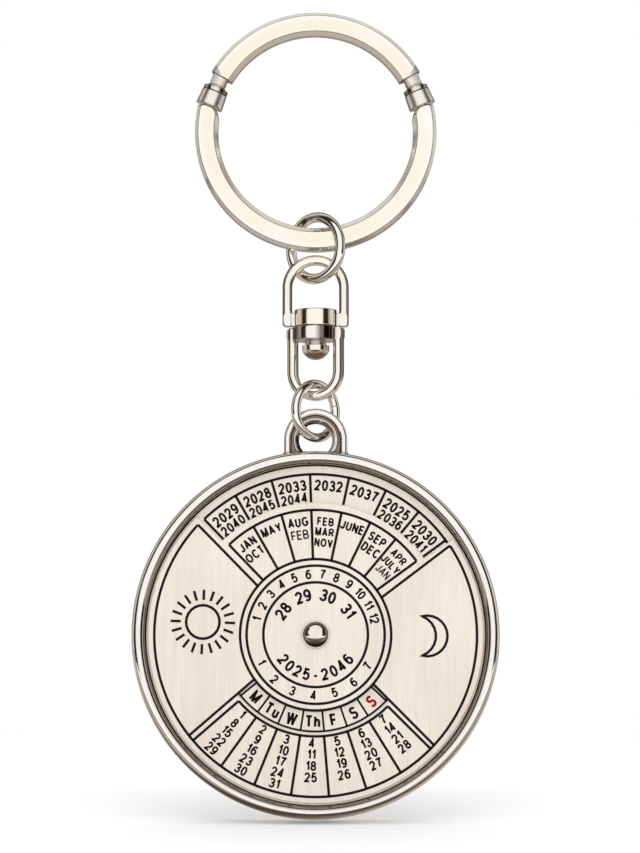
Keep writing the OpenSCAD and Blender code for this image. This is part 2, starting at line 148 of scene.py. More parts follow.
FINISH = ("Colour", "Roughness", "Height")
HAIR_STRETCH = 9
HAIR_LENGTH = 0.35
HAIRLINE_START = 0.735
HAZE_GAIN = 1.6
CLOUD_HEIGHT = 0.5
polish, polish_in, polish_out = mark_group(
    "polish_marks", ("Bright", "Hazed"), {"Smooth": 0.08, "Haze": 0.06}, FINISH)
cloud = noise(polish, scale=260, detail=3)
speck = noise(polish, scale=3400, detail=2)
hair_up = noise(polish, scale=900, detail=2, stretch=(HAIR_STRETCH, HAIR_STRETCH, HAIR_LENGTH))
hair_across = noise(polish, scale=900, detail=2, stretch=(HAIR_LENGTH, HAIR_STRETCH, HAIR_STRETCH))
hairs = math_node(polish, "MAXIMUM", hair_up, hair_across)
hairline = math_node(polish, "GREATER_THAN", hairs, HAIRLINE_START)
haze = math_node(polish, "MULTIPLY", cloud, speck)
hazed = math_node(polish, "MULTIPLY", haze, HAZE_GAIN, True)
tone = blend_colours(polish, hazed, polish_in["Bright"], polish_in["Hazed"])
scuff = math_node(polish, "MULTIPLY", hairline, polish_in["Haze"])
dull = scaled(polish, haze, polish_in["Haze"], scuff)
height = math_node(polish, "SUBTRACT", math_node(polish, "MULTIPLY", cloud, CLOUD_HEIGHT), hairline)
polish.links.new(tone, polish_out["Colour"])
polish.links.new(math_node(polish, "ADD", polish_in["Smooth"], dull), polish_out["Roughness"])
polish.links.new(height, polish_out["Height"])

# Painted shade: blends a colour towards a dark tone where an occlusion mask finds it shut in, and along
# the painted edge lines.
CORNER_SHADE_START = 0.85
CORNER_SHADE_SLOPE = 1.9
corner_shade, corner_shade_in, corner_shade_out = mark_group(
    "painted_corner_shade", ("Colour", "Painted shade"), {"Openness": 1.0}, ("Colour",))
shut_in = past(corner_shade, corner_shade_in["Openness"], CORNER_SHADE_START, -CORNER_SHADE_SLOPE)
corner_shade.links.new(blend_colours(corner_shade, shut_in, corner_shade_in["Colour"], corner_shade_in["Painted shade"]), corner_shade_out["Colour"])

EDGE_SAMPLES = 12
EDGE_LINE = 0.00022
FLAT_FACE = 0.992


def edge_line(tree):
    """Painted dark reflection along a sharp edge: how far its rounded normal leans from the face."""
    rounded = node(tree, "ShaderNodeBevel", samples=EDGE_SAMPLES)
    rounded.inputs["Radius"].default_value = EDGE_LINE
    lean = node(tree, "ShaderNodeVectorMath", operation="DOT_PRODUCT")
    tree.links.new(rounded.outputs["Normal"], lean.inputs[0])
    tree.links.new(node(tree, "ShaderNodeNewGeometry").outputs["Normal"], lean.inputs[1])
    return math_node(tree, "SUBTRACT", FLAT_FACE, lean.outputs["Value"], True)


def new_material(name):
    made = bpy.data.materials.new(name)
    made.use_nodes = True
    return made, made.node_tree, made.node_tree.nodes["Principled BSDF"]


SOFT_EDGE = 0.00012
MARK_DEPTH = 0.000004
CORNER_REACH = 0.0007
CORNER_SAMPLES = 6
CORNER_SHADE_TONE = (0.16, 0.115, 0.08, 1)


def dressed_metal(name, group, inputs, bump, soft=SOFT_EDGE, lined=0.0, metal=1.0, patch=None,
                  crown=None):
    """Plated metal with soft edges, painted shade in its corners and painted dark reflection along its
    sharp edges.

    lined is how dark the painted reflection along its edges is, as a number or a function. patch may
    tone the colour further, and crown gives the height by which a buffed face is rounded.
    """
    made, tree, shader = new_material(name)
    shader.inputs["Metallic"].default_value = metal
    finish = node(tree, "ShaderNodeGroup", node_tree=group)
    for key, value in inputs.items():
        finish.inputs[key].default_value = value
    soft_edge = node(tree, "ShaderNodeBevel", samples=EDGE_SAMPLES)
    soft_edge.inputs["Radius"].default_value = soft
    facing = soft_edge.outputs["Normal"]
    if crown:
        buffed = node(tree, "ShaderNodeBump")
        buffed.inputs["Distance"].default_value = 1.0
        tree.links.new(facing, buffed.inputs["Normal"])
        tree.links.new(crown(tree), buffed.inputs["Height"])
        facing = buffed.outputs["Normal"]
    relief = node(tree, "ShaderNodeBump")
    tree.links.new(facing, relief.inputs["Normal"])
    relief.inputs["Strength"].default_value = bump
    relief.inputs["Distance"].default_value = MARK_DEPTH
    tree.links.new(finish.outputs["Height"], relief.inputs["Height"])
    # Painted shade in the corners, from an occlusion mask.
    corner = node(tree, "ShaderNodeAmbientOcclusion", samples=CORNER_SAMPLES, only_local=True)
    corner.inputs["Distance"].default_value = CORNER_REACH
    openness = corner.outputs["AO"]
    # Painted dark reflection along the sharp edges, taken off the openness.
    if lined:
        strength = lined(tree) if callable(lined) else lined
        painted_edge_reflection = math_node(tree, "MULTIPLY", edge_line(tree), strength)
        openness = math_node(tree, "SUBTRACT", openness, painted_edge_reflection)
    colour = patch(tree, finish.outputs["Colour"]) if patch else finish.outputs["Colour"]
    corner_shaded = node(tree, "ShaderNodeGroup", node_tree=corner_shade)
    corner_shaded.inputs["Painted shade"].default_value = CORNER_SHADE_TONE
    tree.links.new(colour, corner_shaded.inputs["Colour"])
    tree.links.new(openness, corner_shaded.inputs["Openness"])
    tree.links.new(corner_shaded.outputs["Colour"], shader.inputs["Base Color"])
    tree.links.new(finish.outputs["Roughness"], shader.inputs["Roughness"])
    tree.links.new(relief.outputs["Normal"], shader.inputs["Normal"])
    return made


def finish_nodes(material, *names):
    for name in names:
        for held in nodes[name].material_slots:
            held.material = material


BAND_MIDDLE = 0.01345
WARM_HALF = 0.0003
WARM_FADE = 1100
TOUCH_START = 0.50
TOUCH_SLOPE = 4.0
# Painted highlight: the band's plate is paled away from its middle line towards both edges; it is also
# rubbed pale in random patches.
sheen_and_rubbing, sheen_and_rubbing_in, sheen_and_rubbing_out = mark_group("rubbed_plate_and_edge_sheen", ("Colour", "Pale"), {}, ("Colour",))
across, _, up = place_axes(sheen_and_rubbing)
off_middle = math_node(sheen_and_rubbing, "SUBTRACT", length(sheen_and_rubbing, across, up), BAND_MIDDLE)
painted_edge_sheen = past(sheen_and_rubbing, math_node(sheen_and_rubbing, "ABSOLUTE", off_middle), WARM_HALF, WARM_FADE)
touched = past(sheen_and_rubbing, noise(sheen_and_rubbing, scale=95, detail=1), TOUCH_START, TOUCH_SLOPE)
sheened_and_rubbed = math_node(sheen_and_rubbing, "MAXIMUM", painted_edge_sheen, touched)
sheen_and_rubbing.links.new(
    blend_colours(sheen_and_rubbing, sheened_and_rubbed, sheen_and_rubbing_in["Colour"], sheen_and_rubbing_in["Pale"]), sheen_and_rubbing_out["Colour"])

PALE_SHEEN_AND_PLATE = (0.99, 0.98, 0.955, 1)


# Painted highlight towards the band's edges, with rubbed patches, over the given colour.
def worn_pale(tree, colour):
    worn = node(tree, "ShaderNodeGroup", node_tree=sheen_and_rubbing)
    tree.links.new(colour, worn.inputs["Colour"])
    worn.inputs["Pale"].default_value = PALE_SHEEN_AND_PLATE
    return worn.outputs["Colour"]


GATE_SLOPE = math.tan(math.radians(30.5))
GATE_POINT = 0.75
FACE_LINES = 24
NECK_LINES = 3
NECK_INSIDE = 0.0127
NECK_SLOPE = 620
CREST_SLOPE = 2.5
CREST_END = 0.5
INNER_TONE = (0.28, 0.22, 0.17, 1)
CREST_TONE = (0.90, 0.83, 0.73, 1)
OUTER_TONE = (0.46, 0.45, 0.44, 1)


def past_gate_end(tree):
    """Mask of the necks and flanges, where the gate's warm face has run out to a point."""
    across, _, up = place_axes(tree)
    end = math_node(tree, "MULTIPLY", math_node(tree, "ABSOLUTE", across), GATE_SLOPE)
    outer = math_node(tree, "SUBTRACT", length(tree, across, up), BAND_MIDDLE)
    tip = scaled(tree, math_node(tree, "MAXIMUM", outer, 0), GATE_POINT, end)
    return math_node(tree, "LESS_THAN", up, tip)


def gate_lines(tree):
    return scaled(tree, past_gate_end(tree), NECK_LINES - FACE_LINES, FACE_LINES)


def bare_necks(tree, colour):
    """Painted reflection on the necks: dark on the ring's inner side, a painted highlight in the middle
    and grey outside.
    """
    across, _, up = place_axes(tree)
    outward = past(tree, length(tree, across, up), NECK_INSIDE, NECK_SLOPE)
    to_crest = math_node(tree, "MULTIPLY", outward, CREST_SLOPE, True)
    inner = blend_colours(tree, to_crest, INNER_TONE, CREST_TONE)
    past_crest = past(tree, outward, CREST_END, 1 / (1 - CREST_END))
    painted_neck_tone = blend_colours(tree, past_crest, inner, OUTER_TONE)
    return blend_colours(tree, past_gate_end(tree), worn_pale(tree, colour), painted_neck_tone)


BAND_EDGE = 0.00016
WARM = {"Bright": (0.99, 0.91, 0.76, 1), "Hazed": (0.96, 0.86, 0.69, 1), "Smooth": 0.07, "Haze": 0.10}
warm_band = dressed_metal(
    "warm_nickel_band", polish, WARM, bump=0.12, soft=BAND_EDGE, lined=FACE_LINES, patch=worn_pale)
warm_gate = dressed_metal(
    "warm_nickel_gate", polish, WARM, bump=0.12, soft=BAND_EDGE, lined=gate_lines, patch=bare_necks)
finish_nodes(warm_band, "ring_bow")
finish_nodes(warm_gate, "ring_gate")


# Ferrules: two short turned sleeves pressed on the bow's tenons, one holding the hinge pin and
# one slotted for the catch. Brass, nickel plated and rubbed to a soft shine.
SLEEVE = {"Bright": (0.94, 0.92, 0.89, 1), "Hazed": (0.84, 0.80, 0.75, 1), "Smooth": 0.27, "Haze": 0.10}
bright_sleeve = dressed_metal("bright_nickel_sleeve", polish, SLEEVE, bump=0.10, lined=4)
finish_nodes(bright_sleeve, "hinge_sleeve", "catch_sleeve")


# Hinge pin and catch stud: small headed pins riveted under the gate's flanges.
# Plain turned steel with the marks of the lathe left on.
turned, turned_in, turned_out = mark_group(
    "lathe_marks", ("Crest", "Groove"), {"Smooth": 0.25, "Haze": 0.15}, FINISH)
feed = noise(turned, scale=14000, detail=1, stretch=(0.2, 0.2, 1))
stain = noise(turned, scale=900, detail=3)
grooved = math_node(turned, "MULTIPLY", feed, stain)
turned.links.new(
    blend_colours(turned, grooved, turned_in["Crest"], turned_in["Groove"]), turned_out["Colour"])
turned.links.new(scaled(turned, stain, turned_in["Haze"], turned_in["Smooth"]), turned_out["Roughness"])
turned.links.new(feed, turned_out["Height"])
STEEL = {"Crest": (0.66, 0.63, 0.59, 1), "Groove": (0.40, 0.37, 0.34, 1), "Smooth": 0.22, "Haze": 0.2}
plain_steel = dressed_metal("plain_turned_steel", turned, STEEL, bump=0.2)
finish_nodes(plain_steel, "hinge_pin", "catch_stud")


# Jump rings: two loops of round drawn wire, bent shut round the band, the swivel and the
# pendant's eyelet. Steel wire, bright nickel plate.
WIRE = {"Bright": (0.96, 0.94, 0.91, 1), "Hazed": (0.84, 0.80, 0.74, 1), "Smooth": 0.045, "Haze": 0.08}
drawn_wire = dressed_metal("drawn_nickel_wire", polish, WIRE, bump=0.10)
finish_nodes(drawn_wire, "upper_jump_ring", "lower_jump_ring")


# Swivel: a cast stirrup above and a cast yoke below, joined by a peened rivet that lets them turn,
# with a steel washer under its tail. Zinc castings, barrel polished and nickel plated.
BOSS_RADIUS = 0.00265
BAR_HALF = 0.0006
CROWN_RADIUS = 0.0011
STIRRUP_BEND = 0.0035
ARCH_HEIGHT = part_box("swivel_stirrup")[1].z - STIRRUP_BEND - BAR_HALF
YOKE_YAW = math.radians(20)
YOKE_BEND = 0.0030
BOW_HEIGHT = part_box("swivel_yoke")[0].z + YOKE_BEND + BAR_HALF


def bar_crown(tree, across, past_bend, bend):
    """Height of a bar's rounded face, least at its edges, by the distance from its middle line."""
    off = math_node(tree, "SUBTRACT", length(tree, across, past_bend), bend)
    near = math_node(tree, "MINIMUM", math_node(tree, "MULTIPLY", off, off), BAR_HALF ** 2)
    return math_node(tree, "MULTIPLY", near, -0.5 / CROWN_RADIUS)


def stirrup_crown(tree):
    across, _, up = place_axes(tree)
    above = math_node(tree, "MAXIMUM", math_node(tree, "SUBTRACT", up, ARCH_HEIGHT), 0)
    return bar_crown(tree, across, above, STIRRUP_BEND)


def yoke_crown(tree):
    across, depth, up = place_axes(tree)
    across_turned = math_node(tree, "MULTIPLY", across, math.cos(YOKE_YAW))
    sideways = scaled(tree, depth, -math.sin(YOKE_YAW), across_turned)
    below = math_node(tree, "MINIMUM", math_node(tree, "SUBTRACT", up, BOW_HEIGHT), 0)
    return bar_crown(tree, sideways, below, YOKE_BEND)


FACE_END = 0.96
FACE_END_SLOPE = 9
SIDE_END = 0.25
SIDE_END_SLOPE = 5
ROUNDING_REFLECTION_TONE = (0.22, 0.17, 0.13, 1)
STIRRUP_BOSS_TONE = (0.97, 0.92, 0.81, 1)
YOKE_BOSS_TONE = (0.95, 0.92, 0.87, 1)


def dark_roundings(tree, colour, face, boss_tone):
    """Painted dark reflection on the bars where they round off from the flat face; the round boss keeps
    its own tone.
    """
    across, depth, _ = place_axes(tree)
    boss = math_node(tree, "LESS_THAN", length(tree, across, depth), BOSS_RADIUS)
    lean = node(tree, "ShaderNodeVectorMath", operation="DOT_PRODUCT")
    tree.links.new(node(tree, "ShaderNodeTexCoord").outputs["Normal"], lean.inputs[0])
    lean.inputs[1].default_value = face
    flat = math_node(tree, "ABSOLUTE", lean.outputs["Value"])
    off_face = past(tree, flat, FACE_END, -FACE_END_SLOPE)
    off_side = past(tree, flat, SIDE_END, SIDE_END_SLOPE)
    bars = blend_colours(tree, math_node(tree, "MULTIPLY", off_face, off_side), colour, ROUNDING_REFLECTION_TONE)
    return blend_colours(tree, boss, bars, boss_tone)


def stirrup_tones(tree, colour):
    return dark_roundings(tree, colour, (0, 1, 0), STIRRUP_BOSS_TONE)


def yoke_tones(tree, colour):
    return dark_roundings(tree, colour, (math.sin(YOKE_YAW), math.cos(YOKE_YAW), 0), YOKE_BOSS_TONE)


TAIL_LENGTH = 0.0010
TAIL_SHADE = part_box("swivel_rivet")[0].z + TAIL_LENGTH
TAIL_SLOPE = 2500
TAIL_TONE = (0.26, 0.20, 0.155, 1)


# Painted dark reflection: the rivet's tail is darkened towards its lower end.
def peened_tail(tree, colour):
    _, _, up = place_axes(tree)
    return blend_colours(tree, past(tree, up, TAIL_SHADE, -TAIL_SLOPE), colour, TAIL_TONE)


CASTING_EDGE = 0.00026
CASTING_LINES = 9
CASTING = {"Bright": (0.97, 0.945, 0.89, 1), "Hazed": (0.87, 0.81, 0.72, 1), "Smooth": 0.05, "Haze": 0.10}
cast_stirrup = dressed_metal("polished_stirrup_casting", polish, CASTING, bump=0.20, soft=CASTING_EDGE,
                             lined=CASTING_LINES, patch=stirrup_tones, crown=stirrup_crown)
cast_yoke = dressed_metal("polished_yoke_casting", polish, CASTING, bump=0.20, soft=CASTING_EDGE,
                          lined=CASTING_LINES, patch=yoke_tones, crown=yoke_crown)
bright_tail = dressed_metal("peened_rivet_tail", polish, CASTING, bump=0.20, patch=peened_tail)
finish_nodes(cast_stirrup, "swivel_stirrup")
finish_nodes(cast_yoke, "swivel_yoke")
finish_nodes(bright_tail, "swivel_rivet")
finish_nodes(plain_steel, "swivel_washer")


# Case: one dish with a rounded bezel, closed back and hanging eyelet.
# Zinc die casting, buffed and nickel plated, a little hazed where it rubs in a pocket, with
# painted dark reflection inside the dish's wall and on the eyelet's web.
joint_height = {joint["name"]: joint["pos_m"][2] for joint in frame["joints"]}
DIAL_HEIGHT = joint_height["calendar_turn"]
EYELET_HEIGHT = joint_height["pendant_swing"]
WALL_RADIUS = 0.02150
WALL_SLOPE = 4500
WALL_DEPTH = 0.0008
BRIGHT_LINE = 0.02113
BRIGHT_LINE_HALF = 0.00006
WALL_TONE = (0.20, 0.14, 0.095, 1)
WEB_RADIUS = 0.0034
WEB_SLOPE = 6000
WEB_HALF = 0.00068
BEZEL_RADIUS = 0.0222
WEB_TONE = (0.13, 0.09, 0.065, 1)
REFLECTION_DARKNESS = 0.85


# Painted dark reflection inside the dish's wall, bar a thin line left bright as a painted highlight, and
# on the eyelet's web outside the bezel.
def dull_recesses(tree, colour):
    across, depth, up = place_axes(tree)
    out = length(tree, across, math_node(tree, "SUBTRACT", up, DIAL_HEIGHT))
    inside = past(tree, out, WALL_RADIUS, -WALL_SLOPE)
    wall = math_node(tree, "MULTIPLY", inside, math_node(tree, "LESS_THAN", depth, WALL_DEPTH))
    off_line = math_node(tree, "ABSOLUTE", math_node(tree, "SUBTRACT", out, BRIGHT_LINE))
    beside_line = math_node(tree, "GREATER_THAN", off_line, BRIGHT_LINE_HALF)
    wall_reflection_share = math_node(tree, "MULTIPLY", math_node(tree, "MULTIPLY", wall, beside_line), REFLECTION_DARKNESS)
    above = math_node(tree, "MAXIMUM", math_node(tree, "SUBTRACT", up, EYELET_HEIGHT), 0)
    eye = past(tree, length(tree, across, above), WEB_RADIUS, -WEB_SLOPE)
    deep = math_node(tree, "LESS_THAN", math_node(tree, "ABSOLUTE", depth), WEB_HALF)
    web = math_node(tree, "MULTIPLY", eye, deep)
    outside = math_node(tree, "GREATER_THAN", out, BEZEL_RADIUS)
    web_reflection_share = math_node(tree, "MULTIPLY", math_node(tree, "MULTIPLY", web, outside), REFLECTION_DARKNESS)
    return blend_colours(tree, web_reflection_share, blend_colours(tree, wall_reflection_share, colour, WALL_TONE), WEB_TONE)


CASE = {"Bright": (0.96, 0.94, 0.91, 1), "Hazed": (0.84, 0.80, 0.75, 1), "Smooth": 0.05, "Haze": 0.09}
cast_case = dressed_metal(
    "polished_case_casting", polish, CASE, bump=0.15, soft=0.00018, lined=6, patch=dull_recesses)
finish_nodes(cast_case, "case")


# Dial plate: a thin round plate fixed in the bottom of the case, seen through the disc's openings.
# Stainless sheet brushed up and down, with the years and weekdays screen printed round it.
FINE_SHARE = 0.75
DEEP_START = 0.72
DEEP_SLOPE = 2.1
brushing, brush_in, brush_out = mark_group(
    "brush_lines", ("Pale", "Deep"), {"Smooth": 0.3, "Haze": 0.2}, FINISH)
fine = noise(brushing, scale=3600, detail=3, stretch=(1, 1, 0.05))
broad = noise(brushing, scale=1500, detail=2, stretch=(1, 1, 0.04))
drift = noise(brushing, scale=110, detail=2, stretch=(1, 1, 0.4))
streak = scaled(brushing, fine, FINE_SHARE, math_node(brushing, "MULTIPLY", broad, 1 - FINE_SHARE))
deepened = past(brushing, math_node(brushing, "ADD", streak, drift), DEEP_START, DEEP_SLOPE)
brushing.links.new(
    blend_colours(brushing, deepened, brush_in["Pale"], brush_in["Deep"]), brush_out["Colour"])
brushing.links.new(scaled(brushing, streak, brush_in["Haze"], brush_in["Smooth"]), brush_out["Roughness"])
brushing.links.new(streak, brush_out["Height"])
SHEET = {"Pale": (0.97, 0.895, 0.79, 1), "Deep": (0.87, 0.785, 0.68, 1), "Smooth": 0.24, "Haze": 0.14}
brushed_plate = dressed_metal("brushed_dial_sheet", brushing, SHEET, bump=0.5, metal=0.7)
finish_nodes(brushed_plate, "dial_plate")


OVAL_STEP = 15


def oval(cx, cy, rx, ry, start, end):
    steps = max(3, round(abs(end - start) / OVAL_STEP))
    turn = [math.radians(start + (end - start) * i / steps) for i in range(steps + 1)]
    return [(cx + rx * math.cos(t), cy + ry * math.sin(t)) for t in turn]


def glyphs():
    """Strokes of each letter, one unit high."""
    six = [oval(0.28, 0.31, 0.28, 0.31, 90, 450), oval(0.34, 0.42, 0.34, 0.58, 188, 52)]
    stem = [(0.0, 0.0), (0.0, 1.0)]
    bowl = oval(0.30, 0.74, 0.26, 0.26, 90, -90)
    return {
        "0": [oval(0.28, 0.5, 0.28, 0.5, 90, 450)],
        "1": [[(0.08, 0.75), (0.24, 0.86), (0.34, 1.0), (0.34, 0.0)]],
        "2": [oval(0.28, 0.71, 0.27, 0.29, 172, -28) + [(0.02, 0.0), (0.57, 0.0)]],
        "3": [oval(0.26, 0.755, 0.24, 0.245, 165, -80) + oval(0.26, 0.265, 0.28, 0.265, 78, -165)],
        "4": [[(0.42, 0.0), (0.42, 1.0), (0.0, 0.27), (0.58, 0.27)]],
        "5": [[(0.52, 1.0), (0.11, 1.0), (0.04, 0.50)] + oval(0.27, 0.32, 0.29, 0.32, 125, -155)],
        "6": six,
        "7": [[(0.0, 1.0), (0.56, 1.0), (0.38, 0.68), (0.26, 0.34), (0.22, 0.0)]],
        "8": [oval(0.28, 0.755, 0.235, 0.245, 90, 450), oval(0.28, 0.265, 0.28, 0.265, 90, 450)],
        "9": [[(0.56 - x, 1.0 - y) for x, y in stroke] for stroke in six],
        "-": [[(0.02, 0.42), (0.36, 0.42)]],
        "A": [[(0.0, 0.0), (0.33, 1.0), (0.66, 0.0)], [(0.10, 0.30), (0.56, 0.30)]],
        "B": [stem, [(0.0, 1.0)] + bowl + [(0.0, 0.48)],
              [(0.0, 0.52)] + oval(0.34, 0.26, 0.26, 0.26, 90, -90) + [(0.0, 0.0)]],
        "C": [oval(0.36, 0.5, 0.36, 0.5, 42, 318)],
        "D": [stem + oval(0.26, 0.5, 0.36, 0.5, 90, -90) + [(0.0, 0.0)]],
        "E": [[(0.52, 1.0), (0.0, 1.0), (0.0, 0.0), (0.53, 0.0)], [(0.0, 0.52), (0.48, 0.52)]],
        "F": [[(0.50, 1.0), (0.0, 1.0), (0.0, 0.0)], [(0.0, 0.50), (0.44, 0.50)]],
        "G": [oval(0.36, 0.5, 0.36, 0.5, 42, 310) + [(0.68, 0.20), (0.68, 0.46), (0.40, 0.46)]],
        "J": [[(0.42, 1.0)] + oval(0.21, 0.25, 0.21, 0.25, 0, -172)],
        "L": [[(0.0, 1.0), (0.0, 0.0), (0.48, 0.0)]],
        "M": [[(0.0, 0.0), (0.0, 1.0), (0.35, 0.08), (0.70, 1.0), (0.70, 0.0)]],
        "N": [[(0.0, 0.0), (0.0, 1.0), (0.56, 0.0), (0.56, 1.0)]],
        "O": [oval(0.36, 0.5, 0.36, 0.5, 90, 450)],
        "P": [stem, [(0.0, 1.0)] + oval(0.31, 0.72, 0.25, 0.28, 90, -90) + [(0.0, 0.44)]],
        "R": [stem, [(0.0, 1.0)] + oval(0.33, 0.74, 0.25, 0.26, 90, -90) + [(0.0, 0.48)],
              [(0.30, 0.48), (0.60, 0.0)]],
        "S": [oval(0.29, 0.755, 0.26, 0.245, 28, 255) + oval(0.29, 0.265, 0.28, 0.265, 78, -158)],
        "T": [[(0.0, 1.0), (0.60, 1.0)], [(0.30, 1.0), (0.30, 0.0)]],
        "U": [[(0.0, 1.0)] + oval(0.28, 0.28, 0.28, 0.28, 180, 360) + [(0.56, 1.0)]],
        "V": [[(0.0, 1.0), (0.31, 0.0), (0.62, 1.0)]],
        "W": [[(0.0, 1.0), (0.24, 0.0), (0.47, 0.92), (0.70, 0.0), (0.94, 1.0)]],
        "Y": [[(0.0, 1.0), (0.31, 0.42), (0.62, 1.0)], [(0.31, 0.42), (0.31, 0.0)]],
        "h": [stem[::-1], [(0.0, 0.40)] + oval(0.21, 0.45, 0.21, 0.24, 165, 0) + [(0.42, 0.0)]],
        "u": [[(0.0, 0.69)] + oval(0.21, 0.22, 0.21, 0.22, 180, 345), [(0.42, 0.69), (0.42, 0.0)]],
    }


# The print is laid out in millimetres and degrees round the centre of the dial.
LETTERS = glyphs()
LINE = 0.33
ARC_STEP = 1.5


def polar(radius, angle):
    return (radius * math.cos(math.radians(angle)), radius * math.sin(math.radians(angle)))


def arc(radius, start, end, width=LINE):
    steps = max(2, round(abs(end - start) / ARC_STEP))
    return ([polar(radius, start + (end - start) * i / steps) for i in range(steps + 1)], width)


def spoke(inner, inner_angle, outer, outer_angle, width=LINE):
    return ([polar(inner, inner_angle), polar(outer, outer_angle)], width)


SHARP_CORNER = 0.5


def heading(start, end):
    return math.atan2(end[1] - start[1], end[0] - start[0])


def carried_on(end, before, reach):
    share = reach / math.dist(end, before)
    return tuple(a + (a - b) * share for a, b in zip(end, before))


def straight_runs(stroke, pen):
    """The stroke cut at its sharp corners, each cut end carried on by half the pen's width."""
    runs, run = [], [stroke[0]]
    for before, here, after in zip(stroke, stroke[1:], stroke[2:]):
        run.append(here)
        if math.cos(heading(here, after) - heading(before, here)) < SHARP_CORNER:
            runs.append(run)
            run = [here]
    runs.append(run + [stroke[-1]])
    grown = []
    for place, run in enumerate(runs):
        first = carried_on(run[0], run[1], pen / 2) if place else run[0]
        last = carried_on(run[-1], run[-2], pen / 2) if place < len(runs) - 1 else run[-1]
        grown.append([first] + run[1:-1] + [last])
    return grown


LETTER_GAP = 1.4


def word(text, height, radius, angle, top_out=True, weight=0.2, broad=0.9):
    """Strokes of a word set across a radius, its top towards the rim or towards the centre."""
    pen = weight * height
    gap = pen * LETTER_GAP
    rise = height - pen
    run = rise * broad
    strokes, left = [], 0.0
    for letter in text:
        shape = LETTERS[letter]
        low = min(x for stroke in shape for x, _ in stroke)
        high = max(x for stroke in shape for x, _ in stroke)
        for stroke in shape:
            strokes.append([(left + (x - low) * run, y * rise - rise / 2) for x, y in stroke])
        left += (high - low) * run + gap
    shift = (left - gap) / 2
    cx, cy = polar(radius, angle)
    up = math.radians(angle if top_out else angle + 180)
    along, rising = (math.sin(up), -math.cos(up)), (math.cos(up), math.sin(up))
    return [([(cx + (x - shift) * along[0] + y * rising[0], cy + (x - shift) * along[1] + y * rising[1])
              for x, y in piece], pen) for stroke in strokes for piece in straight_runs(stroke, pen)]


SAME_POINT = 1e-6
LEAST_MITRE = 0.3
MITRE_LIMIT = 2.2


def edges_of(points, width):
    """Both edges of an inked line of that width, mitred at its corners."""
    closed = len(points) > 3 and math.dist(points[0], points[-1]) < SAME_POINT
    line = points[:-1] if closed else points
    count = len(line)
    left, right = [], []
    for i, (x, y) in enumerate(line):
        before = line[i - 1] if closed or i else line[i]
        after = line[(i + 1) % count] if closed or i < count - 1 else line[i]
        ways = [(b[0] - a[0], b[1] - a[1]) for a, b in ((before, (x, y)), ((x, y), after)) if a != b]
        units = [(dx / math.hypot(dx, dy), dy / math.hypot(dx, dy)) for dx, dy in ways]
        sides = [(-dy, dx) for dx, dy in units]
        mx, my = sum(s[0] for s in sides), sum(s[1] for s in sides)
        size = math.hypot(mx, my)
        reach = width / 2 * min(1.0 / max(size / len(sides), LEAST_MITRE), MITRE_LIMIT)
        left.append((x + mx / size * reach, y + my / size * reach))
        right.append((x - mx / size * reach, y - my / size * reach))
    return left, right, closed


MM_IN_METRE = 1000
INK = 0.00002
INK_SUNK = INK / 4


def printed(name, strokes, level, material, body):
    """Screen-printed ink on a face of the dial: closed strokes that stand a hair above it."""
    mesh = bmesh.new()

    def corner(point, depth):
        return mesh.verts.new((point[0] / MM_IN_METRE, depth, DIAL_HEIGHT + point[1] / MM_IN_METRE))

    front, back = level - INK, level + INK_SUNK
    for points, width in strokes:
        left, right, closed = edges_of(points, width)
        rows = [[corner(one, front), corner(other, front), corner(other, back), corner(one, back)]
                for one, other in zip(left, right)]
        spans = list(zip(rows, rows[1:])) + ([(rows[-1], rows[0])] if closed else [])
        for a, b in spans:
            for i in range(4):
                mesh.faces.new((a[i], a[(i + 1) % 4], b[(i + 1) % 4], b[i]))
        if not closed:
            mesh.faces.new(rows[0][::-1])
            mesh.faces.new(rows[-1])
    bmesh.ops.recalc_face_normals(mesh, faces=mesh.faces)
    data = bpy.data.meshes.new(name)
    mesh.to_mesh(data)
    mesh.free()
    made = bpy.data.objects.new(name, data)
    scene.collection.objects.link(made)
    data.materials.append(material)
    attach(made, body)


INK_GLOSS = 0.1
INK_SMOOTH = 0.38
INK_GRAIN = 0.25


def ink(name, full, thin):
    made, tree, shader = new_material(name)
    shader.inputs["Specular IOR Level"].default_value = INK_GLOSS
    mesh_marks = noise(tree, scale=5200, detail=2)
    tree.links.new(blend_colours(tree, mesh_marks, full, thin), shader.inputs["Base Color"])
    tree.links.new(scaled(tree, mesh_marks, INK_GRAIN, INK_SMOOTH), shader.inputs["Roughness"])
    return made


black_ink = ink("black_print", (0.006, 0.006, 0.006, 1), (0.016, 0.015, 0.014, 1))
red_ink = ink("red_print", (0.42, 0.002, 0.006, 1), (0.50, 0.006, 0.010, 1))

# Years that begin alike share a column and the one seven columns on. A leap year stands where
# its months from March fit, so its January and February have columns of their own on the disc.
COLUMN = 14.0
FIRST_YEAR_ANGLE = 127.0
YEAR_COLUMNS = 13
YEARS = range(2025, 2047)
YEAR_ROWS = ((18.38, 1.38), (16.85, 1.28))
RIM_LINE = 19.75
YEAR_FOOT = 16.3
LEAP_DAYS = 366
WEEKDAYS = ("M", "Tu", "W", "Th", "F", "S", "S")
WEEK = len(WEEKDAYS)
SUNDAY = WEEK - 1
FILLED_FROM_RIGHT = (3, 4)
alike = {}
for year in YEARS:
    leap = date(year, 12, 31).timetuple().tm_yday == LEAP_DAYS
    alike.setdefault(-(date(year, 1, 1).weekday() + leap) % WEEK, []).append(year)
years = {column: [] for column in range(YEAR_COLUMNS)}
for first, found in alike.items():
    places = sorted(range(first, YEAR_COLUMNS, WEEK), reverse=first in FILLED_FROM_RIGHT)
    for place, year in zip(places * len(YEAR_ROWS), found):
        years[place].append(year)
year_edges = [FIRST_YEAR_ANGLE + COLUMN * (0.5 - column) for column in range(YEAR_COLUMNS + 1)]
plate_marks = [arc(RIM_LINE, year_edges[0], year_edges[-1])]
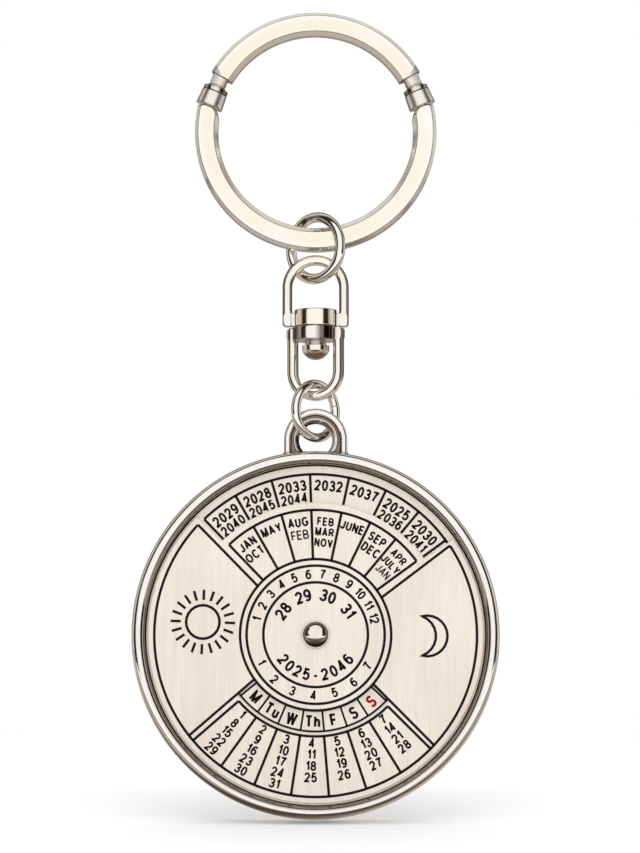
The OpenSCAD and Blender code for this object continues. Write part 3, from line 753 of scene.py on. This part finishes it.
for edge in year_edges:
    plate_marks.append(spoke(YEAR_FOOT, edge, RIM_LINE, edge))
for column, found in years.items():
    for year, (radius, size) in zip(found, YEAR_ROWS):
        plate_marks += word(str(year), size, radius, FIRST_YEAR_ANGLE - COLUMN * column, broad=0.84)

FIRST_DAY_ANGLE = 226.0
DAY_TOP = 11.8
DAY_FOOT = 9.3
DAY_MIDDLE = 10.6
DAY_SIZE = 1.56
DAY_LINE = 0.25
sunday_marks = []
day_columns = range(1 - YEAR_COLUMNS, YEAR_COLUMNS)
day_edges = [FIRST_DAY_ANGLE + COLUMN * (column - 0.5) for column in (*day_columns, YEAR_COLUMNS)]
plate_marks.append(arc(DAY_TOP, day_edges[0], day_edges[-1], DAY_LINE))
for edge in day_edges:
    plate_marks.append(spoke(DAY_FOOT, edge, DAY_TOP, edge, DAY_LINE))
for column in day_columns:
    weekday = column % WEEK
    marks = sunday_marks if weekday == SUNDAY else plate_marks
    marks += word(WEEKDAYS[weekday], DAY_SIZE, DAY_MIDDLE, FIRST_DAY_ANGLE + COLUMN * column, False)
plate_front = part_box("dial_plate")[0].y
printed("plate_print", plate_marks, plate_front, black_ink, "pendant")
printed("sunday_print", sunday_marks, plate_front, red_ink, "pendant")


# Spacer washer: a thin ring between plate and disc that keeps them from rubbing.
# Punched from dark vulcanised fibre, with its pressed-paper grain.
FIBRE_DARK = (0.008, 0.007, 0.006, 1)
FIBRE_PALE = (0.03, 0.025, 0.02, 1)
FIBRE_SMOOTH = 0.55
FIBRE_GRAIN = 0.3
fibre, fibre_tree, fibre_shader = new_material("dark_fibre_sheet")
pulp = noise(fibre_tree, scale=4200, detail=4, stretch=(1, 0.3, 1))
fibre_colour = blend_colours(fibre_tree, pulp, FIBRE_DARK, FIBRE_PALE)
fibre_rough = scaled(fibre_tree, pulp, FIBRE_GRAIN, FIBRE_SMOOTH)
fibre_tree.links.new(fibre_colour, fibre_shader.inputs["Base Color"])
fibre_tree.links.new(fibre_rough, fibre_shader.inputs["Roughness"])
finish_nodes(fibre, "spacer_washer")


# Calendar disc: the turning front plate, cut open for the years and the weekdays.
# Brushed stainless sheet like the plate, screen printed with months, dates, sun and moon.
finish_nodes(brushed_plate, "calendar_disc")
MIDDLE_LINES = (6.4, 8.45, 9.25)
MIDDLE_TOP = MIDDLE_LINES[-1]
disc_marks = [arc(radius, 90, 450) for radius in MIDDLE_LINES]

MONTHS = {"JAN": 0, "FEB": 3, "MAR": 3, "APR": 6, "MAY": 1, "JUNE": 4,
          "JULY": 6, "AUG": 2, "SEP": 5, "OCT": 0, "NOV": 3, "DEC": 5}
LEAP_MONTHS = {"JAN": 6, "FEB": 2}
MONTH_WEIGHT = 0.21
LEAP_WEIGHT = 0.16
MONTH_SIZE_GAP = (1.18, 1.55)
FULL_SIZE_GAP = (1.06, 1.3)
MONTH_TOP = 15.3
FIRST_MONTH = 13.9
FULL_COLUMN = 3
month_edges = year_edges[:WEEK + 1]
disc_marks.append(arc(MONTH_TOP, month_edges[0], month_edges[-1]))
for edge in month_edges:
    disc_marks.append(spoke(MIDDLE_TOP, edge, MONTH_TOP, edge))
for column in range(WEEK):
    names = [(name, MONTH_WEIGHT) for name, place in MONTHS.items() if place == column]
    names += [(name, LEAP_WEIGHT) for name, place in LEAP_MONTHS.items() if place == column]
    size, gap = MONTH_SIZE_GAP if len(names) < FULL_COLUMN else FULL_SIZE_GAP
    angle = FIRST_YEAR_ANGLE - COLUMN * column
    for line, (name, weight) in enumerate(names):
        disc_marks += word(name, size, FIRST_MONTH - gap * line, angle, True, weight)

DATE_PITCH = 13.5
DATE_CENTRE = 268.0
DATE_TOP = 12.4
DATE_SIZE = 1.22
FIRST_DATE = 13.22
DATE_GAP = 1.39
LAST_DATE = 31
SUN_PANEL = ((140.0, 137.0), (216.0, 218.5))
MOON_PANEL = ((29.3, 33.5), (-40.5, -43.0))
date_edges = [DATE_CENTRE + DATE_PITCH * (column - WEEK / 2) for column in range(WEEK + 1)]
disc_marks.append(arc(DATE_TOP, date_edges[0], date_edges[-1]))
disc_marks.append(arc(RIM_LINE, SUN_PANEL[1][1], MOON_PANEL[1][1] + 360))
for edge in date_edges:
    disc_marks.append(spoke(DATE_TOP, edge, RIM_LINE, edge))
for day in range(LAST_DATE):
    line, column = divmod(day, WEEK)
    angle = DATE_CENTRE + DATE_PITCH * (column - WEEK // 2)
    disc_marks += word(str(day + 1), DATE_SIZE, FIRST_DATE + DATE_GAP * line, angle, False)

for inner_angle, outer_angle in SUN_PANEL + MOON_PANEL:
    disc_marks.append(spoke(MIDDLE_TOP, inner_angle, RIM_LINE, outer_angle))
disc_marks.append(arc(RIM_LINE, SUN_PANEL[0][1], SUN_PANEL[1][1]))
disc_marks.append(arc(RIM_LINE, MOON_PANEL[1][1], MOON_PANEL[0][1]))
SUN_PLACE = (13.9, 173.6)
SUN_RADIUS = 2.05
SUN_LINE = 0.34
RAYS = 20
FIRST_RAY = 88
RAY_FOOT = 2.7
RAY_TIP = 3.95
FIGURE_LINE = 0.33
sun_x, sun_y = polar(*SUN_PLACE)
disc_marks.append((oval(sun_x, sun_y, SUN_RADIUS, SUN_RADIUS, 90, 450), SUN_LINE))
for ray in range(RAYS):
    ends = [polar(radius, FIRST_RAY + 360 / RAYS * ray) for radius in (RAY_FOOT, RAY_TIP)]
    disc_marks.append(([(sun_x + x, sun_y + y) for x, y in ends], FIGURE_LINE))
MOON_PLACE = (13.65, -0.16)
MOON_RADIUS = 2.49
MOON_TIP = 104
HOLLOW_PLACE = (12.18, -0.16)
HOLLOW_RADIUS = 2.55
HOLLOW_TIP = 69
moon_back = oval(*MOON_PLACE, MOON_RADIUS, MOON_RADIUS, MOON_TIP, -MOON_TIP)
moon_hollow = oval(*HOLLOW_PLACE, HOLLOW_RADIUS, HOLLOW_RADIUS, -HOLLOW_TIP, HOLLOW_TIP)
disc_marks.append((moon_back + moon_hollow + moon_back[:1], FIGURE_LINE))


def row_of(labels, size, radius, angle, step, top_out=True):
    marks = []
    for place, label in enumerate(labels):
        marks += word(str(label), size, radius, angle + step * place, top_out)
    return marks


disc_marks += row_of(range(1, 13), size=1.2, radius=7.42, angle=165, step=-13.6)
disc_marks += row_of(range(1, 8), size=1.2, radius=7.42, angle=207, step=20.3, top_out=False)
disc_marks += row_of(range(28, 32), size=1.55, radius=4.9, angle=144, step=-36)
span = f"{YEARS[0]}-{YEARS[-1]}"
SPAN_STEP = 13.2
span_start = 270 - SPAN_STEP * (len(span) // 2)
disc_marks += row_of(span, size=1.5, radius=4.95, angle=span_start, step=SPAN_STEP, top_out=False)
printed("disc_print", disc_marks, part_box("calendar_disc")[0].y, black_ink, "calendar")


# Centre rivet and its washer: the pivot that holds the disc down, domed in front and peened behind.
# Brass, nickel plated and buffed, with painted shade round the dome's foot and a painted dark
# reflection over its lower half, over a turned washer of warm nickel.
DOME_FOOT = 0.00128
FOOT_SLOPE = 5000
FOOT_TONE = (0.13, 0.10, 0.08, 1)
DOME_SHADE = 0.00025
SHADE_SLOPE = 1300
SHADE_TONE = (0.10, 0.075, 0.06, 1)
DOME_FLATTENING = 0.0045


def off_dome_axis(tree):
    across, _, up = place_axes(tree)
    rise = math_node(tree, "SUBTRACT", up, DIAL_HEIGHT)
    return length(tree, across, rise), rise


def dome_crown(tree):
    """Height that takes off some of the dome's roundness, as buffing does."""
    out, _ = off_dome_axis(tree)
    return math_node(tree, "MULTIPLY", math_node(tree, "MULTIPLY", out, out), 0.5 / DOME_FLATTENING)


# Painted shade round the dome's foot and painted dark reflection over its lower half.
def tarnished_foot(tree, colour):
    out, rise = off_dome_axis(tree)
    shaded = blend_colours(tree, past(tree, rise, -DOME_SHADE, -SHADE_SLOPE), colour, SHADE_TONE)
    return blend_colours(tree, past(tree, out, DOME_FOOT, FOOT_SLOPE), shaded, FOOT_TONE)


DOME = {"Bright": (0.92, 0.88, 0.82, 1), "Hazed": (0.78, 0.72, 0.64, 1), "Smooth": 0.05, "Haze": 0.08}
bright_dome = dressed_metal(
    "bright_rivet_dome", polish, DOME, bump=0.08, patch=tarnished_foot, crown=dome_crown)
finish_nodes(bright_dome, "centre_rivet")
WASHER = {"Crest": (0.86, 0.77, 0.64, 1), "Groove": (0.58, 0.49, 0.39, 1), "Smooth": 0.22, "Haze": 0.2}
warm_washer = dressed_metal("warm_nickel_washer", turned, WASHER, bump=0.2)
finish_nodes(warm_washer, "pivot_washer")


# Studio: a white floor and surround, with toned cards that only the polished metal sees,
# two soft lamps, and a long lens low in front of the pendant.
def floor_strip(name, half, near, far, material):
    """Strip between two lines across the scene, each given by its depth and its height."""
    data = bpy.data.meshes.new(name)
    corners = [(-half, *near), (half, *near), (half, *far), (-half, *far)]
    data.from_pydata(corners, [], [(0, 1, 2, 3)])
    data.materials.append(material)
    made = bpy.data.objects.new(name, data)
    scene.collection.objects.link(made)
    return made


def seen_rays(tree):
    path = node(tree, "ShaderNodeLightPath")
    seen = math_node(tree, "MAXIMUM", path.outputs["Is Camera Ray"], path.outputs["Is Glossy Ray"])
    return math_node(tree, "MAXIMUM", seen, path.outputs["Is Transmission Ray"])


FLOOR_GLOW = 0.205
FLOOR_HALF = 6
FLOOR_GAP = 0.0003
FLOOR = cad_box[0][2] - FLOOR_GAP
WAVE = ((-3.0, -0.0176), (-0.10, -0.0176), (0.02, 0.0035), (0.05, 0.0058), (0.14, 0.0), (9.0, 0.0))
white_floor, floor_tree, floor_shader = new_material("white_floor")
floor_shader.inputs["Base Color"].default_value = (0.8, 0.8, 0.8, 1)
floor_shader.inputs["Roughness"].default_value = 1.0
floor_shader.inputs["Specular IOR Level"].default_value = 0.0
glow = node(floor_tree, "ShaderNodeEmission")
glow_level = math_node(floor_tree, "MULTIPLY", seen_rays(floor_tree), FLOOR_GLOW)
floor_tree.links.new(glow_level, glow.inputs["Strength"])
both = node(floor_tree, "ShaderNodeAddShader")
floor_tree.links.new(floor_shader.outputs[0], both.inputs[0])
floor_tree.links.new(glow.outputs[0], both.inputs[1])
floor_tree.links.new(both.outputs[0], floor_tree.nodes["Material Output"].inputs["Surface"])
floor_lines = [(depth, FLOOR + rise) for depth, rise in WAVE]
for number, (near, far) in enumerate(zip(floor_lines, floor_lines[1:])):
    floor_strip(f"floor_{number}", FLOOR_HALF, near, far, white_floor)

FOLD_BEND = 0.2


def reflected_card(name, measure, stops):
    """Card that glows in tones set along a measure from 0 to 1, bent a little by folds in it."""
    made, tree, shader = new_material(name)
    shader.inputs["Base Color"].default_value = (0, 0, 0, 1)
    shader.inputs["Specular IOR Level"].default_value = 0.0
    shader.inputs["Emission Strength"].default_value = 1.0
    folds = math_node(tree, "SUBTRACT", noise(tree, scale=5, detail=2), 0.5)
    tones = node(tree, "ShaderNodeValToRGB")
    ramp = tones.color_ramp.elements
    while len(ramp) < len(stops):
        ramp.new(0.5)
    for element, (place, tone) in zip(ramp, stops):
        element.position = place
        element.color = (*tone, 1)
    tree.links.new(scaled(tree, folds, FOLD_BEND, measure(tree)), tones.inputs["Fac"])
    tree.links.new(tones.outputs["Color"], shader.inputs["Emission Color"])
    return made


def for_reflections(card):
    card.visible_camera = False
    card.visible_diffuse = False
    card.visible_shadow = False


HOOP = 0.35
HOOP_HEIGHT = -0.035
HOOP_SIDES = 120
FIELD_LIFT = 0.24


def angle_off_sight(tree):
    """Share of a half turn away from the front, with the white field lifted above the middle."""
    _, depth, up = place_axes(tree)
    ahead = math_node(tree, "DIVIDE", depth, -HOOP)
    off = math_node(tree, "DIVIDE", math_node(tree, "ARCCOSINE", ahead), math.pi)
    lift = math_node(tree, "MULTIPLY", math_node(tree, "MULTIPLY", ahead, up), FIELD_LIFT / HOOP)
    return math_node(tree, "SUBTRACT", off, lift)


def hoop_panel(row, side):
    after = (side + 1) % HOOP_SIDES
    near, far = HOOP_SIDES * row, HOOP_SIDES * (row + 1)
    return (near + side, near + after, far + after, far + side)


hoop_tones = reflected_card("hoop_tones", angle_off_sight, [
    (0.20, (1, 1, 1)), (0.225, (0.80, 0.78, 0.75)), (0.245, (0.05, 0.036, 0.026)),
    (0.40, (0.012, 0.009, 0.007)), (0.45, (0.42, 0.37, 0.32)), (0.53, (0.60, 0.55, 0.49)),
    (0.61, (0.80, 0.76, 0.71)), (0.68, (0.40, 0.35, 0.31)), (0.75, (0.09, 0.07, 0.055)),
    (0.87, (0.20, 0.165, 0.14)), (0.98, (0.34, 0.29, 0.25))])
rims = [math.radians(angle) for angle in range(26, 180, 4)]
turns = [math.radians(360 / HOOP_SIDES * side) for side in range(HOOP_SIDES)]
hoop = bpy.data.meshes.new("hoop")
hoop.from_pydata(
    [(HOOP * math.sin(a) * math.cos(t), -HOOP * math.cos(a), HOOP * math.sin(a) * math.sin(t))
     for a in rims for t in turns], [],
    [hoop_panel(row, side) for row in range(len(rims) - 1) for side in range(HOOP_SIDES)])
hoop.materials.append(hoop_tones)
hoop_card = bpy.data.objects.new("hoop", hoop)
scene.collection.objects.link(hoop_card)
hoop_card.location.z = HOOP_HEIGHT
for_reflections(hoop_card)

LOW_REACH = 0.25
LOW_LIFT = 0.0004
LOW_END = (0.30, 0.0058)


def distance_ahead(tree):
    _, depth, _ = place_axes(tree)
    return math_node(tree, "MULTIPLY", depth, -1 / LOW_REACH)


low_tones = reflected_card("low_tones", distance_ahead, [
    (0.0, (0.54, 0.48, 0.42)), (0.018, (0.50, 0.44, 0.38)), (0.028, (0.07, 0.052, 0.04)),
    (0.048, (0.10, 0.08, 0.06)), (0.062, (0.50, 0.44, 0.38)), (0.15, (0.48, 0.42, 0.36)),
    (0.20, (0.07, 0.052, 0.04)), (0.25, (0.12, 0.095, 0.075)), (0.33, (0.60, 0.56, 0.51)),
    (0.40, (0.90, 0.88, 0.85))])
low_lines = [(depth, FLOOR + rise + LOW_LIFT) for depth, rise in (*WAVE[1:4], LOW_END)]
for number, (near, far) in enumerate(zip(low_lines, low_lines[1:])):
    for_reflections(floor_strip(f"card_low_{number}", HOOP, near, far, low_tones))

LAMP_SPREAD = math.radians(65)


def soft_sun(name, tilt, turn, power):
    data = bpy.data.lights.new(name, "SUN")
    data.energy = power
    data.angle = LAMP_SPREAD
    made = bpy.data.objects.new(name, data)
    scene.collection.objects.link(made)
    made.rotation_euler = (math.radians(tilt), 0, math.radians(turn))
    made.visible_glossy = False


soft_sun("lamp_left", tilt=12, turn=-35, power=0.45)
soft_sun("lamp_right", tilt=12, turn=35, power=0.6)

surround = bpy.data.worlds.new("surround")
scene.world = surround
surround.use_nodes = True
sky = surround.node_tree.nodes["Background"]
sky.inputs["Color"].default_value = (1, 1, 1, 1)
sky_level = node(surround.node_tree, "ShaderNodeMapRange")
surround.node_tree.links.new(seen_rays(surround.node_tree), sky_level.inputs["Value"])
sky_level.inputs["To Min"].default_value = 0.75
sky_level.inputs["To Max"].default_value = 1.0
surround.node_tree.links.new(sky_level.outputs["Result"], sky.inputs["Strength"])

CAMERA_PLACE = (0.000534, -0.4, -0.0755)
CAMERA_LIFT = 0.0966
lens = bpy.data.cameras.new("camera")
lens.sensor_fit = "VERTICAL"
lens.sensor_height = 36.0
lens.lens = 137.55
lens.clip_start = 0.01
lens.clip_end = 30.0
camera = bpy.data.objects.new("camera", lens)
scene.collection.objects.link(camera)
camera.location = CAMERA_PLACE
camera.rotation_euler = (math.pi / 2 + CAMERA_LIFT, 0, 0)
scene.camera = camera
scene.view_settings.view_transform = "Standard"
